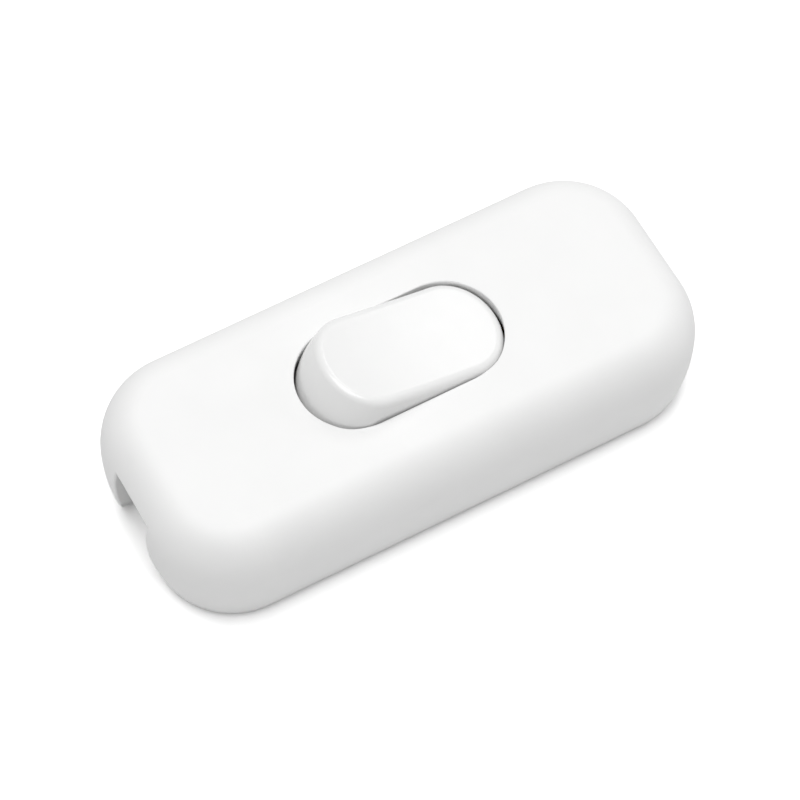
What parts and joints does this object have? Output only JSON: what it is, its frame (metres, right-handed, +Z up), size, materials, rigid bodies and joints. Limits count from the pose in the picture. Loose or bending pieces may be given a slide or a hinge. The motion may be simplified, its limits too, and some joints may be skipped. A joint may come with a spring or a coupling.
{
  "type": "inline cord switch",
  "caption": "White inline rocker switch for a flexible cord: pillow-shaped cover with a stadium rocker, notched ends for the cord, screwed base, cord clamps and a see-saw contact inside.",
  "frame": {"origin": "centre of the base's flat underside, on the surface the switch lies on", "axes": "+X along the cord from the line end to the load end, +Z up through the rocker, +Y across"},
  "size_m": [0.062, 0.0272, 0.0176],
  "materials": {
    "cover_white": "satin gloss white moulding",
    "rocker_white": "satin gloss white moulding",
    "base_white": "fine matt white moulding",
    "clamp_plastic": "matt off-white moulding",
    "plunger_nylon": "natural nylon",
    "strip_brass": "stamped brass strip",
    "terminal_brass": "machined brass",
    "contact_silver": "pressed silver contact",
    "screw_steel": "zinc plated steel",
    "spring_steel": "drawn spring wire"
  },
  "bodies": {
    "housing": {"cover": "cover_white", "base": "base_white", "housing_screws": "screw_steel", "line_strip": "strip_brass", "load_strip": "strip_brass", "fixed_contact": "contact_silver", "neutral_link": "strip_brass", "line_terminal": "terminal_brass", "load_terminal": "terminal_brass", "neutral_terminal_left": "terminal_brass", "neutral_terminal_right": "terminal_brass", "terminal_screws": "screw_steel", "cord_clamp_left": "clamp_plastic", "cord_clamp_right": "clamp_plastic", "cord_clamp_screws": "screw_steel"},
    "rocker": {"rocker": "rocker_white", "plunger_spring": "spring_steel"},
    "plunger": {"plunger": "plunger_nylon"},
    "bridge": {"contact_bridge": "strip_brass", "moving_contact": "contact_silver"}
  },
  "joints": [
    {"name": "rocker_tilt", "type": "hinge", "parent": "housing", "child": "rocker", "pos_m": [0, 0, 0.0107], "axis": [0, -1, 0], "range_deg": [0, 25]},
    {"name": "contact_tilt", "type": "hinge", "parent": "housing", "child": "bridge", "pos_m": [0, 0, 0.0041], "axis": [0, -1, 0], "range_deg": [-14, 0]},
    {"name": "plunger_slide", "type": "slide", "parent": "rocker", "child": "plunger", "axis": [0.2164, 0, 0.9763], "range_m": [0, 0.0008], "stiffness_N_per_m": 400, "springref_m": -0.002, "deforming": ["plunger_spring"]}
  ],
  "couplings": [
    {"joint": "contact_tilt", "follows": "rocker_tilt", "ratio": -0.56}
  ]
}
